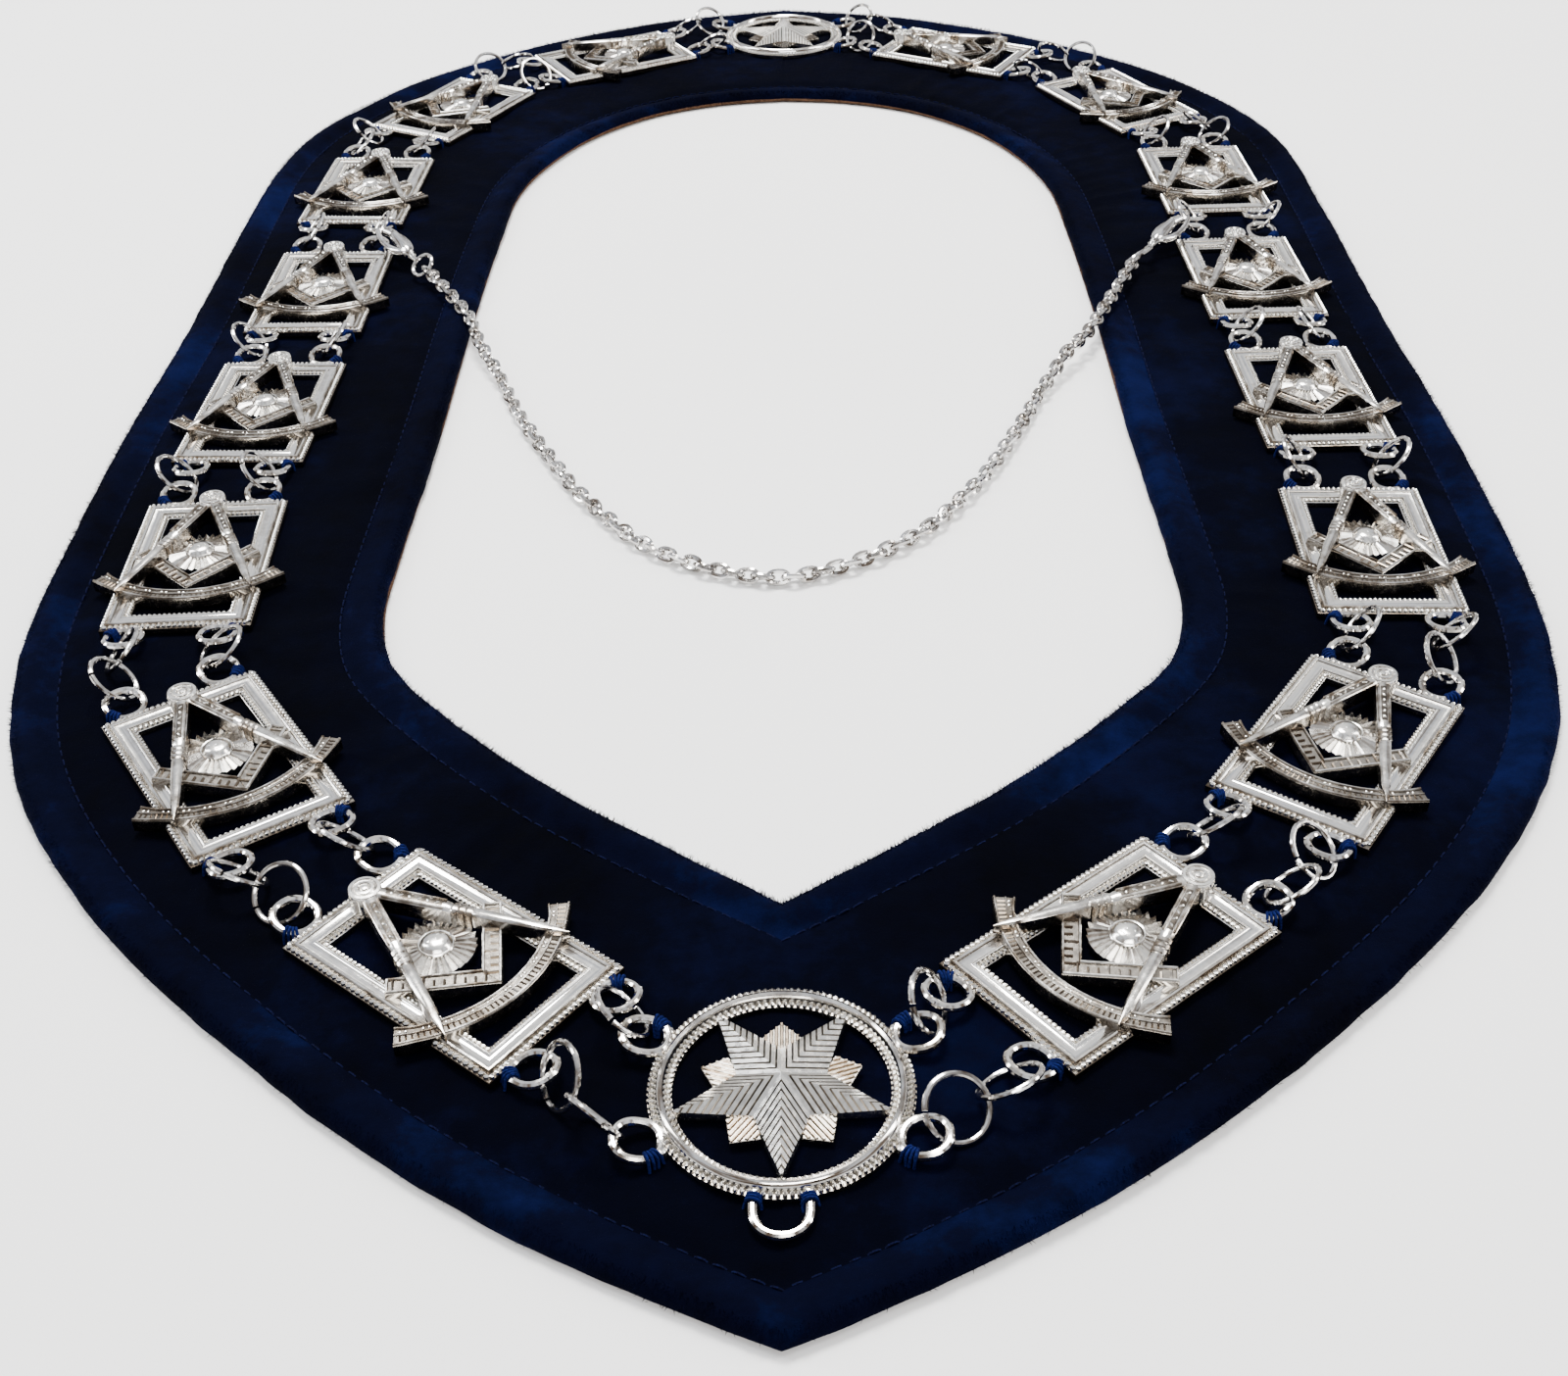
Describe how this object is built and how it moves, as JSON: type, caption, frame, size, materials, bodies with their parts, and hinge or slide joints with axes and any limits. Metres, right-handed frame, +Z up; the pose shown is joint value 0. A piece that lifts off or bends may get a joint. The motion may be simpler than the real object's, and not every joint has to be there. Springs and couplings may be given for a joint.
{
  "type": "masonic collar",
  "caption": "flat padded velvet neck collar carrying a two-strand chain of pierced cast links and round star medallions, with jump rings and a fine clasped safety chain",
  "frame": {"origin": "on the surface that the collar lies on, at the middle of its outline", "axes": "+Y from the front point to the back of the neck, +X to the right as seen from the front point, +Z up"},
  "size_m": [0.308, 0.542, 0.012],
  "materials": {
    "navy_velvet": "deep navy pile with rolled, stitched edges",
    "bright_nickel": "bright plated cast relief",
    "ring_steel": "polished round wire"
  },
  "bodies": {
    "root": {"velvet_collar": "navy_velvet", "star_front": "bright_nickel", "star_back": "bright_nickel", "link_left_1": "bright_nickel", "link_left_2": "bright_nickel", "link_left_3": "bright_nickel", "link_left_4": "bright_nickel", "link_left_5": "bright_nickel", "link_left_6": "bright_nickel", "link_left_7": "bright_nickel", "link_left_8": "bright_nickel", "link_right_1": "bright_nickel", "link_right_2": "bright_nickel", "link_right_3": "bright_nickel", "link_right_4": "bright_nickel", "link_right_5": "bright_nickel", "link_right_6": "bright_nickel", "link_right_7": "bright_nickel", "link_right_8": "bright_nickel", "rings_left_inner_1": "ring_steel", "rings_left_outer_1": "ring_steel", "rings_left_inner_2": "ring_steel", "rings_left_outer_2": "ring_steel", "rings_left_inner_3": "ring_steel", "rings_left_outer_3": "ring_steel", "rings_left_inner_4": "ring_steel", "rings_left_outer_4": "ring_steel", "rings_left_inner_5": "ring_steel", "rings_left_outer_5": "ring_steel", "rings_left_inner_6": "ring_steel", "rings_left_outer_6": "ring_steel", "rings_left_inner_7": "ring_steel", "rings_left_outer_7": "ring_steel", "rings_left_inner_8": "ring_steel", "rings_left_outer_8": "ring_steel", "rings_left_inner_9": "ring_steel", "rings_left_outer_9": "ring_steel", "clasp_left": "ring_steel", "rings_right_inner_1": "ring_steel", "rings_right_outer_1": "ring_steel", "rings_right_inner_2": "ring_steel", "rings_right_outer_2": "ring_steel", "rings_right_inner_3": "ring_steel", "rings_right_outer_3": "ring_steel", "rings_right_inner_4": "ring_steel", "rings_right_outer_4": "ring_steel", "rings_right_inner_5": "ring_steel", "rings_right_outer_5": "ring_steel", "rings_right_inner_6": "ring_steel", "rings_right_outer_6": "ring_steel", "rings_right_inner_7": "ring_steel", "rings_right_outer_7": "ring_steel", "rings_right_inner_8": "ring_steel", "rings_right_outer_8": "ring_steel", "rings_right_inner_9": "ring_steel", "rings_right_outer_9": "ring_steel", "clasp_right": "ring_steel", "safety_chain": "ring_steel"}
  },
  "joints": []
}
